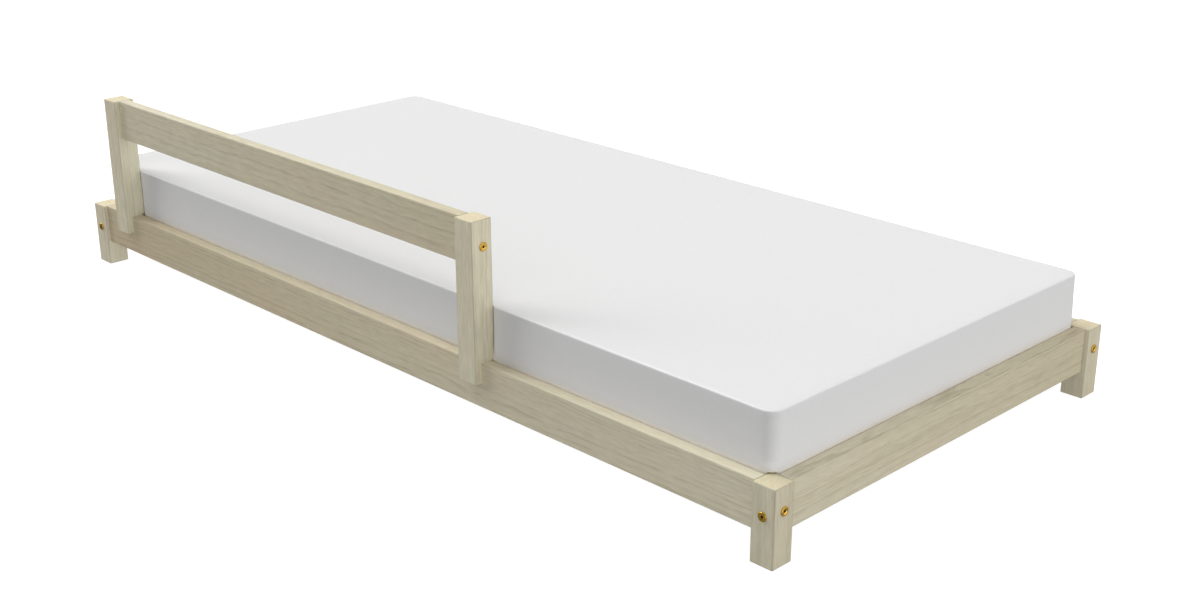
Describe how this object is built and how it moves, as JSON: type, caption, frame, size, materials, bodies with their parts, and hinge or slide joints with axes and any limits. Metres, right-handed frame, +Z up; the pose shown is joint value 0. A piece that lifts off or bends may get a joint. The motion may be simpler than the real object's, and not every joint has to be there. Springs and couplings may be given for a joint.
{
  "type": "kids bed",
  "caption": "Low pine child's bed: square corner posts, bolted rails, a slatted base, a guard rail along part of one long side and a loose foam mattress.",
  "frame": {"origin": "on the floor, midway between the outermost faces along X and along Y", "axes": "+X along the bed towards the end that the guard rail leaves open, +Z up, and the side with the guard rail faces -Y"},
  "size_m": [2.085, 0.9916, 0.414],
  "materials": {
    "pine": "planed and sanded pine, pale, with a thin clear matt finish",
    "beech": "plain turned beech",
    "brass": "yellow brass-plated steel, polished",
    "steel": "bright zinc plating",
    "mattress_cover": "white woven cotton cover stretched over foam"
  },
  "bodies": {
    "frame": {"post_front_left": "pine", "post_front_right": "pine", "post_back_left": "pine", "post_back_right": "pine", "side_rail_front": "pine", "side_rail_back": "pine", "end_rail_left": "pine", "end_rail_right": "pine", "slat_ledger_front": "pine", "slat_ledger_back": "pine", "slat_01": "pine", "slat_02": "pine", "slat_03": "pine", "slat_04": "pine", "slat_05": "pine", "slat_06": "pine", "slat_07": "pine", "slat_08": "pine", "slat_09": "pine", "slat_10": "pine", "slat_11": "pine", "slat_12": "pine", "slat_13": "pine", "slat_14": "pine", "slat_15": "pine", "guard_post_left": "pine", "guard_post_right": "pine", "guard_board": "pine", "frame_bolts": "brass", "frame_barrel_nuts": "steel", "frame_dowels": "beech", "guard_bolts": "brass", "guard_barrel_nuts": "steel", "guard_dowels": "beech", "guard_screws": "steel", "ledger_screws": "steel", "slat_screws": "steel"},
    "mattress": {"mattress": "mattress_cover"}
  },
  "joints": [
    {"name": "mattress_lift", "type": "slide", "parent": "frame", "child": "mattress", "axis": [0, 0, 1], "range_m": [0, 0.31]}
  ]
}
